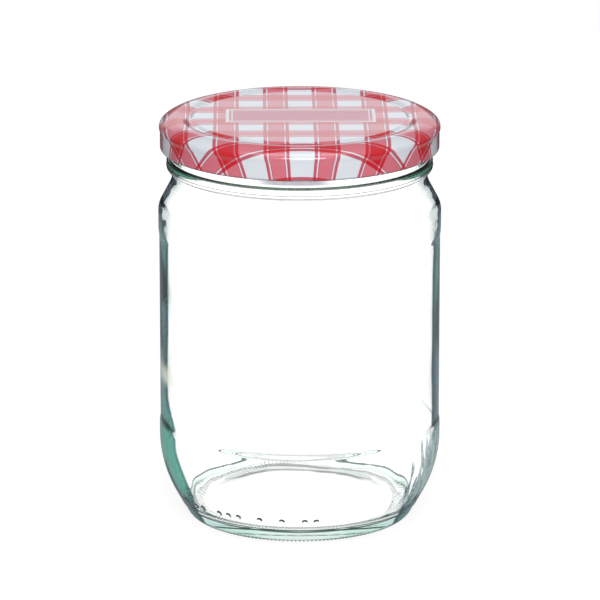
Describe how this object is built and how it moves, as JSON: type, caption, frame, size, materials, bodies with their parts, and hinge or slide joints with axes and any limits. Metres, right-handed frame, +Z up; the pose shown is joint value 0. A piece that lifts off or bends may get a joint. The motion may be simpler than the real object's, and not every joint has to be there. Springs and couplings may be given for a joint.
{
  "type": "preserving jar",
  "caption": "Empty round glass preserving jar with a recessed label panel, closed by a drawn tinplate twist-off lid with a gingham print and a sealing liner.",
  "frame": {"origin": "centre of the bearing ring, on the surface the jar stands on", "axes": "+Z up along the jar's axis; -Y is the front, with the mould dots on the heel to its left"},
  "size_m": [0.104, 0.104, 0.151],
  "materials": {
    "glass": "clear flint glass with a green tint where it is thick",
    "lid_print": "gloss lacquer over a red and white gingham print on tinplate",
    "liner": "matte flowed-in compound"
  },
  "bodies": {
    "root": {"jar": "glass", "lid": "lid_print", "sealing_ring": "liner"}
  },
  "joints": []
}
